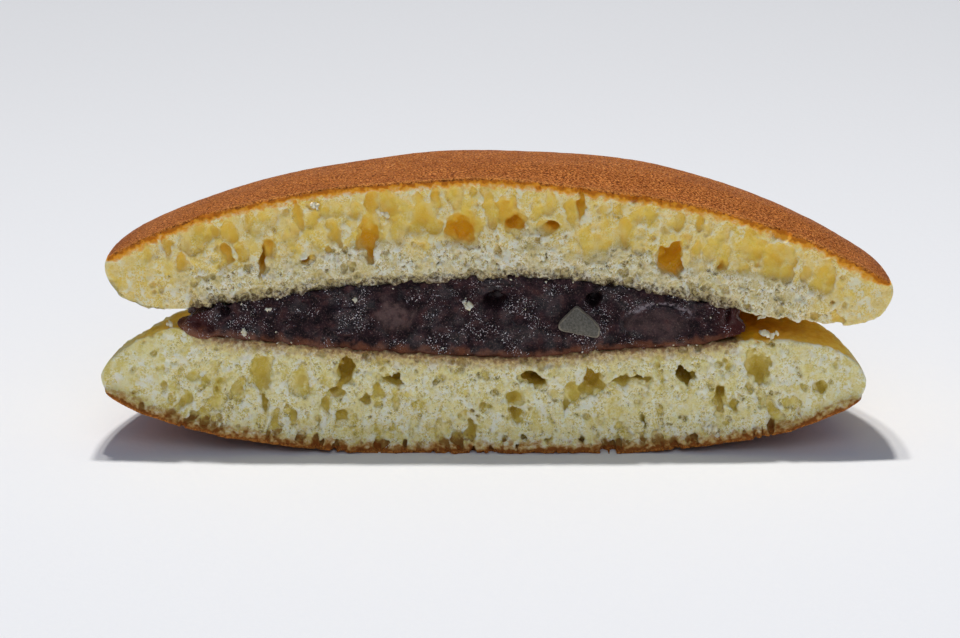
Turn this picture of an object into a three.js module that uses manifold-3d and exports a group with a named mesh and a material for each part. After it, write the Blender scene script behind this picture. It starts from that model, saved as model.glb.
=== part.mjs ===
// Half of a dorayaki: two small pancakes pressed together round a disc of sweet bean paste, then cut through
// the middle. The cut face is the plane at the front, and the rest of the half disc lies behind it.
// Each of the three layers runs through the food and is one closed solid: upper_cake, bean_paste and
// lower_cake. Millimetres, +Z up.

import * as THREE from "three";
import { mergeVertices } from "three/addons/utils/BufferGeometryUtils.js";
import Module from "manifold-3d";

const wasm = await Module();
wasm.setup();

// ---- Driving dimensions ----

// x and radius place a layer in plan, and wobble sets where its outline bulges. middle is the height of
// a cake's middle surface at its centre, and thickness is its thickness there. curl is how far the middle
// surface has risen (or drooped, if negative) at the rim, growing with the power bend of the distance from
// the centre, and lean is its slope to the right. inner is the side that faces the paste, 1 for up, and
// press is the depth of the hollow that the paste makes there.
const UPPER = {
  x: 0.2, radius: 46.8, wobble: 0.3,
  middle: 28.2, thickness: 12.8, curl: -7.5, bend: 1.85, lean: -0.032,
  inner: -1, press: 0.3,
};
const LOWER = {
  x: -1.3, radius: 45.5, wobble: 1.7,
  middle: 6.6, thickness: 13.2, curl: 3.9, bend: 1.5, lean: -0.008,
  inner: 1, press: 0.75,
};
const PASTE = { x: -3.9, radius: 33.8, wobble: 4.1 };

const CAKE_EDGE_POWER = 5; // a pancake keeps its thickness nearly to its rim
const PASTE_EDGE_POWER = 9; // the paste has a blunt edge
const PASTE_SLANT = 0.03; // the paste spreads a little further where it meets the lower cake
const LAYER_GAP = 0.36; // clear space between neighbouring layers

const SAG = 0.75; // depth of the rounded underside that the weight has pressed flat
const SAG_REACH = 0.64; // how much further the flat spot reaches towards the back than to the sides

const RIM_WAVE = 0.005; // unevenness of a round outline, as a share of its radius
const SURFACE_WAVE = 0.22; // unevenness of the faces between the layers

const TURN_STEPS = 72; // facets round a whole pancake
const FACE_STEPS = 13; // rings from the centre of a face to the rim

const COLOURS = { crust: 0x9a5a2e, crumb: 0xdccb86, paste: 0x35222a };

// ---- Shapes of the layers ----

// A slow, repeating unevenness in plan, between about -1 and 1.
function wave(x, y, phase) {
  const across = Math.sin(0.19 * x + phase) * Math.cos(0.16 * y - 1.3 * phase);
  const along = Math.sin(0.11 * y + 0.31 * x + 2.1 * phase);
  return 0.6 * across + 0.4 * along;
}

function rimRadius(layer, angle) {
  const p = layer.wobble;
  const wobble = Math.sin(2 * angle + p) + 0.6 * Math.sin(5 * angle + 2 * p) + 0.35 * Math.sin(9 * angle - p);
  return layer.radius * (1 + RIM_WAVE * wobble);
}

// Half the thickness, as a share of the thickness at the centre, at a share of the radius.
function edgeShape(share, power) {
  return Math.sqrt(Math.max(0, 1 - share ** power));
}

function middleHeight(cake, share, x) {
  return cake.middle + cake.curl * share ** cake.bend + cake.lean * x;
}

// The hollow that the paste presses into a cake, from 1 under its middle to 0 at its edge.
function pastePress(x, y) {
  return Math.max(0, 1 - (Math.hypot(x - PASTE.x, y) / PASTE.radius) ** 4);
}

// Height of a point of a cake. height runs from -1 to 1 through its thickness at the centre.
function cakeHeight(cake, share, height, x, y) {
  const unevenness = SURFACE_WAVE * wave(x, y, cake.wobble) * (1 - share ** 4);
  const hollow = Math.max(0, height * cake.inner) * cake.press * pastePress(x, y);
  return middleHeight(cake, share, x) + (height * cake.thickness) / 2 + unevenness - cake.inner * hollow;
}

// Height of a cake's upper (side 1) or lower (side -1) face at a point in plan.
function faceHeight(cake, x, y, side) {
  const angle = Math.atan2(y, x - cake.x);
  const share = Math.min(1, Math.hypot(x - cake.x, y) / rimRadius(cake, angle));
  return cakeHeight(cake, share, side * edgeShape(share, CAKE_EDGE_POWER), x, y);
}

// Places a point of the unit pancake: share of the radius, height from -1 to 1, and angle.
function placeOnCake(cake, share, height, angle) {
  const radius = share * rimRadius(cake, angle);
  const x = cake.x + radius * Math.cos(angle);
  const y = radius * Math.sin(angle);
  return [x, y, cakeHeight(cake, share, height, x, y)];
}

// The lower cake rests on its browned face. Its own weight presses a flat spot into the round underside,
// and that spot reaches back under the middle of the half disc.
function placeOnLowerCake(share, height, angle) {
  const [x, y, z] = placeOnCake(LOWER, share, height, angle);
  if (height >= 0) return [x, y, z];
  const back = Math.max(0, Math.sin(angle));
  const flatter = share * (1 - SAG_REACH * back * (1 - share ** 2));
  const half = (LOWER.thickness / 2) * edgeShape(flatter, CAKE_EDGE_POWER);
  const round = middleHeight(LOWER, flatter, x) - half;
  return [x, y, Math.max(SAG, round)];
}

// The paste fills the space between the two cakes, with a rounded rim of its own.
function placeOnPaste(share, height, angle) {
  const radius = share * rimRadius(PASTE, angle) * (1 - PASTE_SLANT * height);
  const x = PASTE.x + radius * Math.cos(angle);
  const y = radius * Math.sin(angle);
  const ceiling = faceHeight(UPPER, x, y, -1) - LAYER_GAP;
  const floor = faceHeight(LOWER, x, y, 1) + LAYER_GAP;
  return [x, y, (ceiling + floor) / 2 + (height * (ceiling - floor)) / 2];
}

// ---- Making solids ----

// A full turn of the unit pancake's outline, centre to rim to centre, with closer rings towards the rim.
function unitPancake(edgePower) {
  const outline = [];
  for (let i = -FACE_STEPS; i <= FACE_STEPS; i++) {
    const share = Math.cos((i / FACE_STEPS) * (Math.PI / 2));
    const rim = Math.abs(i) === FACE_STEPS ? 0 : share;
    const side = Math.sign(i);
    outline.push(new THREE.Vector2(rim, side * edgeShape(rim, edgePower)));
  }
  const halfStep = Math.PI / TURN_STEPS; // keeps the facets' corners off the cutting plane
  return new THREE.LatheGeometry(outline, TURN_STEPS, halfStep).rotateX(Math.PI / 2);
}

function solidFrom(geometry) {
  const bare = new THREE.BufferGeometry().setAttribute("position", geometry.getAttribute("position"));
  bare.setIndex(geometry.getIndex());
  const merged = mergeVertices(bare, 1e-4);
  return new wasm.Manifold(
    new wasm.Mesh({
      numProp: 3,
      vertProperties: new Float32Array(merged.getAttribute("position").array),
      triVerts: new Uint32Array(merged.getIndex().array),
    }),
  );
}

function geometryFrom(solid) {
  const mesh = solid.getMesh();
  const geometry = new THREE.BufferGeometry();
  geometry.setAttribute("position", new THREE.BufferAttribute(mesh.vertProperties, 3));
  geometry.setIndex(new THREE.BufferAttribute(mesh.triVerts, 1));
  const faceted = geometry.toNonIndexed();
  faceted.computeVertexNormals();
  return faceted;
}

// Everything in front of the knife's plane, y = 0, which is taken away.
function frontHalf() {
  const size = 200;
  return solidFrom(new THREE.BoxGeometry(size, size, size).translate(0, -size / 2, 0));
}

// A whole round layer, shaped by place(share, height, angle), then cut in half.
function halfLayer(name, colour, roughness, edgePower, place) {
  const geometry = unitPancake(edgePower);
  const points = geometry.getAttribute("position");
  for (let i = 0; i < points.count; i++) {
    const [x, y, height] = [points.getX(i), points.getY(i), points.getZ(i)];
    points.setXYZ(i, ...place(Math.hypot(x, y), height, Math.atan2(y, x)));
  }
  const half = solidFrom(geometry).subtract(frontHalf());
  const material = new THREE.MeshStandardMaterial({ color: colour, roughness, metalness: 0 });
  const mesh = new THREE.Mesh(geometryFrom(half), material);
  mesh.name = name;
  return mesh;
}

// ---- The half dorayaki ----

const dorayaki = new THREE.Group();
dorayaki.add(
  halfLayer("upper_cake", COLOURS.crust, 0.6, CAKE_EDGE_POWER, (share, height, angle) =>
    placeOnCake(UPPER, share, height, angle),
  ),
  halfLayer("bean_paste", COLOURS.paste, 0.3, PASTE_EDGE_POWER, placeOnPaste),
  halfLayer("lower_cake", COLOURS.crumb, 0.8, CAKE_EDGE_POWER, placeOnLowerCake),
);

// The origin is at the middle of the half's footprint, on the surface that it rests on.
const box = new THREE.Box3().setFromObject(dorayaki, true);
const middle = box.getCenter(new THREE.Vector3());
dorayaki.position.set(-middle.x, -middle.y, -box.min.z);

export default dorayaki;
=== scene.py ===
# %% [markdown]
# # Half of a dorayaki
# A dorayaki is two small pancakes pressed together round a disc of sweet bean paste. This one has been cut
# through the middle, so the knife's face shows everything: browned skin, open sponge and dark paste.
# The packed model holds the true outline and thickness of each layer. This lesson builds a finely modelled
# piece over each layer, and every place and size is read from that model or measured from it.

# %% Load the frame
import math
from collections import namedtuple
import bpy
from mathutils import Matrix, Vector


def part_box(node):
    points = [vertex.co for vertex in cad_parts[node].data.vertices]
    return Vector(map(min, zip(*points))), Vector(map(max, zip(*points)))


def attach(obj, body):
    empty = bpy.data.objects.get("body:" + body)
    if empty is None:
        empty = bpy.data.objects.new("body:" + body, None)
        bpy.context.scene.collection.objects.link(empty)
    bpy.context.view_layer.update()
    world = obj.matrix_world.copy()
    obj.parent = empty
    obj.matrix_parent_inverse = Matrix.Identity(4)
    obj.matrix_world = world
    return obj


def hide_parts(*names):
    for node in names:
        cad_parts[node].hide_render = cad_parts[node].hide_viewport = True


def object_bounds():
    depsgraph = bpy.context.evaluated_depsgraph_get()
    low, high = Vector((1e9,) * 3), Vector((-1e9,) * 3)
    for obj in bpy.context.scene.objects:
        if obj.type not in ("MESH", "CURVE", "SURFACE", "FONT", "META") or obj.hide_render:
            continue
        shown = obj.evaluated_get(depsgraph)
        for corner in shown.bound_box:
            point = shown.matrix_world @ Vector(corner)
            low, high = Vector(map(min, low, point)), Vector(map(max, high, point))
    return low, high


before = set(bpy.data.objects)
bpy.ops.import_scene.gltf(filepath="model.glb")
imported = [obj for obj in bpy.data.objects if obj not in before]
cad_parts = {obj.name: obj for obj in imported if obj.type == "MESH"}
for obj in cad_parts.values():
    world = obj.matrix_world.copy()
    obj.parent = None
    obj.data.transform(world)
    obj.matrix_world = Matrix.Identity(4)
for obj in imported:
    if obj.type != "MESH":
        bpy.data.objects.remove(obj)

from types import SimpleNamespace

import bmesh
import bpy
import numpy as np
from mathutils import Euler, Matrix, Vector

cad_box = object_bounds()
print("CAD box in metres:", [[round(value, 4) for value in corner] for corner in cad_box])

# %% [markdown]
# ## Camera
# The food is small, so it is seen from close by through a long lens, a little above level and square to the
# cut. A long lens keeps the layers nearly parallel, as they look when a real cut is inspected.

# %% Place the camera
MM = 0.001
CAMERA_DISTANCE = 420 * MM
CAMERA_HEIGHT_ANGLE = math.radians(16)
LENS = 132
AIM_X = -2 * MM
AIM_HEIGHT = 16.5 * MM

scene = bpy.context.scene
cut_y = cad_box[0][1]
aim = Vector((AIM_X, cut_y, AIM_HEIGHT))
away = Vector((0, -math.cos(CAMERA_HEIGHT_ANGLE), math.sin(CAMERA_HEIGHT_ANGLE)))
camera = bpy.data.objects.new("camera", bpy.data.cameras.new("camera"))
scene.collection.objects.link(camera)
camera.data.lens = LENS
camera.data.clip_start = 10 * MM
camera.location = aim + away * CAMERA_DISTANCE
camera.rotation_euler = away.to_track_quat("Z", "Y").to_euler()
scene.camera = camera
print("camera at", [round(value, 3) for value in camera.location])

# %% [markdown]
# ## Light
# Two lamps hang almost straight above and a little behind, so a double shadow falls just in front of the
# food. The pale floor throws most of the light on the cut face, and a wide weak light in front opens the
# shadows.

# %% Hang the lights
# Each light: name, place and size in metres, watts and colour.
LIGHTS = [
    ("main_lamp", (0.02, 0.123, 0.9), 0.045, 4.6, (1, 0.98, 0.945)),
    ("second_lamp", (-0.055, 0.123, 0.9), 0.045, 2.5, (1, 0.98, 0.945)),
    ("front_light", (0.1, -0.9, 0.7), 0.8, 2.1, (0.86, 0.91, 1)),
]
SKY_COLOUR = (0.62, 0.74, 1, 1)
SKY_STRENGTH = 0.22


def add_light(name, place, size, watts, colour):
    light = bpy.data.lights.new(name, "AREA")
    light.shape = "DISK"
    light.size = size
    light.energy = watts
    light.color = colour
    holder = bpy.data.objects.new(name, light)
    holder.location = place
    holder.rotation_euler = Vector(place).to_track_quat("Z", "Y").to_euler()
    scene.collection.objects.link(holder)


for settings in LIGHTS:
    add_light(*settings)
world = bpy.data.worlds.new("studio")
world.use_nodes = True
sky = world.node_tree.nodes["Background"].inputs
sky["Color"].default_value = SKY_COLOUR
sky["Strength"].default_value = SKY_STRENGTH
scene.world = world
scene.view_settings.view_transform = "Standard"

# %% [markdown]
# ## Repeatable unevenness
# Baked dough is uneven at every scale. These small functions give a number for any point in space:
# `drift` swells and sinks smoothly, and `cells` divides space into a foam of rounded cells with thin walls.
# They depend only on the point and a seed, so the food comes out the same each time.

# %% Noise for many points at once
CELL_RISE = 0.7


def ease(values, start, end):
    """0 before start, 1 after end, smooth between."""
    share = np.clip((values - start) / (end - start), 0, 1)
    return share * share * (3 - 2 * share)


def corner_value(corner, seed):
    """A number from 0 to 1 for each corner of a grid. The large factors only scramble the corner's place."""
    mixed = corner[..., 0] * 374761393 + corner[..., 1] * 668265263 + corner[..., 2] * 362437 + seed * 974711
    mixed = mixed & 0xFFFFFFFF
    mixed = ((mixed ^ (mixed >> 13)) * 1274126177) & 0xFFFFFFFF
    return ((mixed ^ (mixed >> 16)) & 0xFFFF) / 0xFFFF


def drift(points, size, seed):
    """Smooth noise from -1 to 1, with lumps about size across."""
    place = points / np.asarray(size, float)
    base = np.floor(place).astype(np.int64)
    blend = place - base
    blend = blend * blend * (3 - 2 * blend)
    total = np.zeros(len(points))
    for corner in np.ndindex(2, 2, 2):
        weight = np.prod(np.where(corner, blend, 1 - blend), axis=1)
        total += weight * corner_value(base + corner, seed)
    return 2 * total - 1


def cells(points, size, seed):
    """Foam of cells about size across: 0 on their walls, rising inside, and each cell's own number."""
    place = points / np.asarray(size, float)
    base = np.floor(place).astype(np.int64)
    nearest = np.full(len(points), 9.0)
    second = nearest.copy()
    own = np.zeros(len(points))
    for step in np.ndindex(3, 3, 3):
        cell = base + step - 1
        jitter = np.stack([corner_value(cell, seed + axis) for axis in range(3)], axis=1)
        distance = np.linalg.norm(place - cell - jitter, axis=1)
        closer = distance < nearest
        second = np.where(closer, nearest, np.minimum(second, distance))
        nearest[closer] = distance[closer]
        own[closer] = corner_value(cell[closer], seed + 3)
    return ease(second - nearest, 0, CELL_RISE), own


print("drift at the origin:", drift(np.zeros((1, 3)), 1.0, 5).round(3))

# %% [markdown]
# ## The layers' sizes
# From here on, lengths are in millimetres, and a finished piece is scaled to metres at the end. Each layer
# is a round pancake, in which a place is a share of the radius and a height from -1 to 1. The upper pancake
# droops towards its rim and the lower one curls up, because both bend round the paste between them.
#
# Each layer's `wobble` makes it uneven in its own way. A cake has these values too:
# - `inner` is the side of the paste: 1 is above the cake and -1 below it.
# - `droop` is how far the rim lies above the crown, and `bend` how late the slope sets in.
# - `lean` and `skew` tilt the cake along the cut, straight and in an S.
# - `press` is how deep the paste sinks in, `taper` thins the left rim and `rim_lift` curls the very rim.
# - `dip` lowers the back on the left.
# - `edge_drop` wears down the upper edge of the cut on the right, and `crest` swells it near the left tip.

# %% Read the layers from the frame
FLAT_DEPTH = 0.75


def layer(node, **shape):
    low, high = (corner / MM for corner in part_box(node))
    return SimpleNamespace(
        node=node, low=low, high=high, x=(low.x + high.x) / 2, y=low.y, radius=(high.x - low.x) / 2, **shape
    )


upper = layer(
    "upper_cake", inner=-1, wobble=0.3, thickness=13.1, droop=-8.1, bend=1.85, lean=-0.032, skew=0.5,
    press=0.55, taper=0, rim_lift=2.1, dip=0, edge_drop=0.9, crest=0,
)
lower = layer(
    "lower_cake", inner=1, wobble=1.7, thickness=13.2, droop=3.9, bend=1.5, lean=-0.008, skew=0,
    press=0.75, taper=1.3, rim_lift=-0.9, dip=1.2, edge_drop=0, crest=1.7,
)
paste = layer("bean_paste", wobble=4.1)
upper.middle = upper.high.z - upper.thickness / 2
lower.middle = lower.low.z + lower.thickness / 2 - FLAT_DEPTH
CUT = upper.y
for one in (upper, lower, paste):
    print(one.node, "radius", round(one.radius, 2), "mm, centre x", round(one.x, 2))

# %% [markdown]
# ## The layers' faces
# Every later step asks how high a face of a cake lies over some place in plan: the mesh is shaped with it,
# bubbles and beans are placed with it, and the colours follow it. So each face is a plain function of
# x and y.

# %% Heights of the faces
RIM_WAVE = 0.005
SURFACE_WAVE = 0.22
CAKE_EDGE = 5
FLAT_REACH = 0.64
CROWN_EASE = 0.1
# The worn upper edge: where along the cut it sets in and is full, and how far back it reaches.
WORN_START, WORN_FULL, WORN_DEPTH = -5, 8, 9
CREST_X, CREST_WIDTH, CREST_DEPTH = -39.5, 4, 7


def rim_radius(piece, angle):
    p = piece.wobble
    wave = np.sin(2 * angle + p) + 0.6 * np.sin(5 * angle + 2 * p) + 0.35 * np.sin(9 * angle - p)
    return piece.radius * (1 + RIM_WAVE * wave)


def angle_of(piece, x, y):
    return np.arctan2(y - piece.y, x - piece.x)


def share_of(piece, x, y):
    """How far out places lie in plan: 0 in the middle of a piece, 1 on its rim."""
    return np.hypot(x - piece.x, y - piece.y) / rim_radius(piece, angle_of(piece, x, y))


def edge_shape(share, power=CAKE_EDGE):
    return np.sqrt(np.clip(1 - share**power, 0, 1))


def middle_height(cake, share, x, y):
    """Height of the middle of a cake's thickness. The crown is eased so that it has no point."""
    across, back = (x - cake.x) / cake.radius, (y - cake.y) / cake.radius
    bent = np.hypot(share, CROWN_EASE) ** cake.bend - CROWN_EASE**cake.bend
    tilted = cake.lean * x + cake.skew * np.sin(math.pi * across)
    left_dip = 2 * cake.dip * np.clip(-across, 0, None) * np.clip(back, 0, None)
    rim = cake.rim_lift * share**20 - left_dip * share**2
    return cake.middle + cake.droop * bent + tilted + rim


def paste_press(x, y):
    """1 in the middle of the paste, 0 from its rim on."""
    reach = np.hypot(x - paste.x, y - paste.y) / paste.radius
    return np.clip(1 - reach**4, 0, 1)


def cake_height(cake, share, height, x, y):
    """Height of points of a cake, whose own height runs from -1 to 1 through its thickness."""
    p = cake.wobble
    across = np.sin(0.19 * x + p) * np.cos(0.16 * (y - cake.y) - 1.3 * p)
    along = np.sin(0.11 * (y - cake.y) + 0.31 * x + 2.1 * p)
    uneven = SURFACE_WAVE * (0.6 * across + 0.4 * along) * (1 - share**4)
    left = np.clip(-(x - cake.x) / cake.radius, 0, 1)
    thinner = cake.press * paste_press(x, y) + cake.taper * left * share**6
    hollow = np.clip(height * cake.inner, 0, None) * thinner
    top = np.clip(height, 0, 1)
    worn = cake.edge_drop * ease(x, WORN_START, WORN_FULL) * ease(y, cake.y + WORN_DEPTH, cake.y) * top
    near_tip = np.exp(-(((x - CREST_X) / CREST_WIDTH) ** 2))
    swell = cake.crest * near_tip * ease(y, cake.y + CREST_DEPTH, cake.y + 0.5) * top
    flat = middle_height(cake, share, x, y) + uneven - cake.inner * hollow - worn + swell
    return flat + height * cake.thickness / 2


def face_height(cake, x, y, side):
    """Height of the upper (side 1) or lower (side -1) face of a cake over points in plan."""
    share = np.clip(share_of(cake, x, y), 0, 1)
    z = cake_height(cake, share, side * edge_shape(share), x, y)
    if cake is lower and side < 0:
        back = np.clip(np.sin(angle_of(cake, x, y)), 0, 1)
        flatter = share * (1 - FLAT_REACH * back * (1 - share**2))
        rounded = middle_height(cake, flatter, x, y) - cake.thickness / 2 * edge_shape(flatter)
        z = np.maximum(cake.low.z, rounded)
    return z


def height_at(cake, x, y, side):
    """Height of a cake's face at one place."""
    return face_height(cake, np.array([x]), np.array([y]), side)[0]


for cake in (upper, lower):
    faces = [height_at(cake, 0.0, CUT, side).round(2) for side in (-1, 1)]
    print(cake.node, "at the middle of the cut: from", faces[0], "to", faces[1])

# %% [markdown]
# ## A smooth half pancake
# The outline of half a section is spun round the upright axis, as a potter would turn it, which gives a
# closed round body with even rings. The rings are then moved to the true faces, and the body is cut at the
# knife's plane and closed with one flat face.

# %% Helpers for meshes
def new_object(name, mesh):
    thing = bpy.data.objects.new(name, mesh)
    scene.collection.objects.link(thing)
    return thing


def mesh_from(bm, name):
    mesh = bpy.data.meshes.new(name)
    bm.to_mesh(mesh)
    bm.free()
    return mesh


def rows_of(mesh, field):
    """Three numbers for each point of a mesh, read in one go, because a loop over points is slow."""
    flat = np.empty(len(mesh.vertices) * 3)
    mesh.vertices.foreach_get(field, flat)
    return flat.reshape(-1, 3)


def points_of(mesh):
    return rows_of(mesh, "co")


def normals_of(mesh):
    return rows_of(mesh, "normal")


def move_points(mesh, points):
    mesh.vertices.foreach_set("co", np.asarray(points, float).ravel())
    mesh.update()


def apply_modifiers(thing):
    finished = bpy.data.meshes.new_from_object(thing.evaluated_get(bpy.context.evaluated_depsgraph_get()))
    thing.modifiers.clear()
    thing.data = finished


def voxel_remesh(thing, size):
    remesh = thing.modifiers.new("remesh", "REMESH")
    remesh.mode = "VOXEL"
    remesh.voxel_size = size
    apply_modifiers(thing)


print("mesh helpers ready")

# %% Spin, shape and cut
TURN_STEPS = 180
RINGS = 30
WELD = 1e-5


def unit_pancake(power):
    """A whole pancake of radius 1. Its rings lie closer together towards the rim, where it curves most."""
    bm = bmesh.new()
    outline = []
    for ring in range(-RINGS, RINGS + 1):
        share = 0 if abs(ring) == RINGS else math.cos(ring / RINGS * math.pi / 2)
        height = math.copysign(edge_shape(share, power), ring)
        outline.append(bm.verts.new((share, 0, height)))
    edges = [bm.edges.new(pair) for pair in zip(outline, outline[1:])]
    bmesh.ops.spin(
        bm, geom=outline + edges, axis=(0, 0, 1), cent=(0, 0, 0),
        angle=math.tau, steps=TURN_STEPS, use_merge=True,
    )
    bmesh.ops.remove_doubles(bm, verts=bm.verts, dist=WELD)
    bmesh.ops.recalc_face_normals(bm, faces=bm.faces)
    return bm


def cut_in_half(bm, plane_y):
    whole = list(bm.verts) + list(bm.edges) + list(bm.faces)
    bmesh.ops.bisect_plane(bm, geom=whole, plane_co=(0, plane_y, 0), plane_no=(0, -1, 0), clear_outer=True)
    bmesh.ops.holes_fill(bm, edges=[edge for edge in bm.edges if edge.is_boundary], sides=0)
    bmesh.ops.triangulate(bm, faces=[face for face in bm.faces if len(face.verts) > 4])


def half_pancake(power, place, plane_y):
    """A whole pancake shaped by place(share, height, angle), and cut in half at plane_y."""
    whole = mesh_from(unit_pancake(power), "whole_pancake")
    unit = points_of(whole)
    share = np.hypot(unit[:, 0], unit[:, 1])
    move_points(whole, place(share, unit[:, 2], np.arctan2(unit[:, 1], unit[:, 0])))
    bm = bmesh.new()
    bm.from_mesh(whole)
    bpy.data.meshes.remove(whole)
    cut_in_half(bm, plane_y)
    return bm


def cake_place(cake):
    def place(share, height, angle):
        radius = share * rim_radius(cake, angle)
        x = cake.x + radius * np.cos(angle)
        y = cake.y + radius * np.sin(angle)
        z = cake_height(cake, share, height, x, y)
        if cake is lower:
            z = np.where(height < 0, face_height(cake, x, y, -1), z)
        return np.stack([x, y, z], axis=1)

    return place


def smooth_half(cake):
    name = cake.node + "_body"
    body = new_object(name, mesh_from(half_pancake(CAKE_EDGE, cake_place(cake), CUT), name))
    low, high = points_of(body.data).min(0), points_of(body.data).max(0)
    print(name, len(body.data.vertices), "points, box", low.round(2).tolist(), high.round(2).tolist())
    return body


smooth = {cake.node: smooth_half(cake) for cake in (upper, lower)}

# %% [markdown]
# ## Bubbles
# Sponge is what is left round the bubbles, so the bubbles are modelled and taken away from the smooth body.
# The large hollows are placed one by one. Each is a bubble and several smaller ones that have run into it,
# which gives the torn outline of a real hollow. Smaller bubbles fill the rest at random: tall ones under the
# skin, where steam pushed upwards, and fine foam near the paste.

# %% Bubble shapes
def scatter(template, matrices, name):
    """One mesh of many copies of a small template mesh."""
    bm = bmesh.new()
    for matrix in matrices:
        copy = template.copy()
        copy.transform(matrix)
        bm.from_mesh(copy)
        bpy.data.meshes.remove(copy)
    return mesh_from(bm, name)


def ball(subdivisions):
    bm = bmesh.new()
    bmesh.ops.create_icosphere(bm, subdivisions=subdivisions, radius=1)
    return mesh_from(bm, "ball")


def egg(place, radii, turn=0.0):
    return Matrix.LocRotScale(Vector(place), Euler((0, turn, 0)), Vector(radii))


def hollow(rng, x, z, width, height, depth, turn=0.0):
    """The matrices of one large hollow: a wide bubble in the middle and 5 to 8 lobes round it."""
    across, up = width / 2, height / 2
    parts = [egg((x, CUT + 0.15 * depth, z), (0.78 * across, 0.85 * depth, 0.8 * up), turn)]
    for _ in range(rng.integers(5, 9)):
        angle = rng.uniform(0, math.tau)
        reach = rng.uniform(0.45, 0.75)
        side, rise = reach * across * math.cos(angle), reach * up * math.sin(angle)
        px = x + side * math.cos(turn) + rise * math.sin(turn)
        pz = z - side * math.sin(turn) + rise * math.cos(turn)
        size = rng.uniform(0.3, 0.5)
        radii = (size * across + 0.1, rng.uniform(0.35, 0.8) * depth, size * up + 0.1)
        parts.append(egg((px, CUT + rng.uniform(-0.1, 0.3) * depth, pz), radii, turn))
    return parts


bubble = ball(2)
print("a bubble starts as a ball of", len(bubble.polygons), "faces")

# %% Where the bubbles are
# Each large hollow: x and z of its middle, width, height, depth and lean.
UPPER_HOLLOWS = [
    (-35.1, 27.0, 4.0, 7.0, 1.1, 0.1), (-28.0, 23.4, 1.3, 3.9, 3.2, 0), (-28.2, 28.3, 2.4, 4.0, 0.9, 0),
    (-22.8, 23.6, 2.2, 0.8, 2.0, -0.35), (-20.3, 29.6, 1.3, 1.2, 1.0, 0), (-15.2, 26.2, 3.4, 5.6, 2.3, 0.1),
    (-8.8, 29.0, 4.6, 4.6, 1.2, 0), (-4.0, 27.4, 4.4, 4.6, 2.8, 0.15), (-0.8, 29.6, 1.8, 4.0, 1.2, 0),
    (2.3, 28.4, 2.5, 2.9, 3.4, 0), (6.6, 27.8, 2.6, 1.7, 2.6, 0), (4.3, 25.7, 3.2, 1.1, 1.4, 0.1),
    (12.0, 25.8, 6.8, 4.2, 1.3, 0.1), (20.6, 23.8, 3.6, 4.6, 3.4, 0), (26.8, 22.8, 1.3, 1.6, 2.0, 0),
    (33.6, 23.4, 4.6, 5.8, 1.6, 0.5), (38.8, 21.4, 2.6, 5.4, 1.2, 0.55), (-41.0, 24.6, 2.4, 3.2, 0.5, 0),
    (-24.5, 27.0, 2.0, 3.6, 0.8, 0), (16.5, 29.0, 2.2, 3.0, 1.0, 0), (9.3, 29.4, 1.8, 3.0, 1.0, 0),
]
LOWER_HOLLOWS = [
    (-40.0, 8.0, 0.8, 1.5, 1.0, 0), (-33.4, 8.0, 1.0, 2.6, 1.6, 0), (-27.9, 9.6, 3.4, 5.8, 1.7, 0),
    (-23.6, 8.4, 2.4, 5.0, 1.3, 0), (-31.0, 7.6, 1.4, 4.0, 1.3, 0), (-20.6, 5.6, 1.2, 3.0, 1.4, 0),
    (-37.0, 6.4, 1.0, 2.0, 1.0, 0), (8.2, 6.0, 1.2, 3.4, 1.2, 0), (-28.0, 5.9, 1.1, 3.0, 1.6, 0),
    (-18.0, 9.8, 2.5, 3.6, 3.0, 0.25), (-19.2, 7.4, 1.3, 2.0, 2.4, 0.3), (-18.5, 4.2, 1.7, 1.8, 1.6, 0),
    (-12.2, 8.8, 3.6, 1.6, 3.0, 0.1), (-15.6, 6.4, 1.5, 1.5, 1.6, 0), (-9.4, 4.8, 2.0, 4.4, 0.8, 0),
    (-4.1, 4.5, 1.3, 1.3, 1.5, 0), (-1.7, 5.6, 1.0, 0.9, 1.2, 0), (2.2, 6.6, 2.4, 1.4, 1.6, 0),
    (2.4, 4.4, 1.7, 3.0, 2.0, 0), (4.6, 8.8, 3.7, 2.4, 4.0, 0.15), (11.3, 8.6, 3.3, 3.6, 2.6, 0.2),
    (15.9, 8.8, 4.6, 1.0, 3.0, 0), (22.4, 9.6, 2.6, 2.5, 4.0, 0.4), (26.8, 6.6, 1.8, 3.3, 2.6, 0),
    (31.4, 10.5, 4.0, 5.2, 1.9, 0), (31.6, 6.2, 1.3, 2.8, 1.1, 0), (38.8, 8.0, 1.5, 1.6, 1.5, 0),
    (35.0, 6.0, 1.0, 1.0, 1.0, 0), (-36.5, 9.4, 2.0, 1.2, 0.8, 0),
]
# Rows of tall bubbles: level, half height as a share of the thickness, widths, depths, spacing, chance.
UPPER_COLUMNS = [
    (0.76, 0.17, (0.5, 1.25), (0.5, 1.5), 1.9, 0.95),
    (0.55, 0.15, (0.4, 1.1), (0.5, 1.3), 1.8, 0.75),
    (0.88, 0.07, (0.3, 0.7), (0.4, 0.8), 1.5, 0.6),
]
LOWER_COLUMNS = [
    (0.72, 0.14, (0.3, 0.8), (0.5, 1.3), 2.3, 0.75),
    (0.4, 0.13, (0.3, 0.8), (0.4, 1.2), 2.6, 0.7),
    (0.9, 0.08, (0.16, 0.34), (0.4, 1.0), 0.62, 0.9),
]
COLUMN_REACH = 0.84
# Foam: count, lowest and highest level, smallest and largest half size.
UPPER_FOAMS = [(600, 0.02, 0.42, 0.17, 0.34), (480, -0.03, 0.1, 0.2, 0.46), (120, 0.45, 0.85, 0.18, 0.45)]
LOWER_FOAMS = [(620, 0.04, 0.92, 0.17, 0.36), (90, -0.01, 0.05, 0.2, 0.4)]

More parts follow.
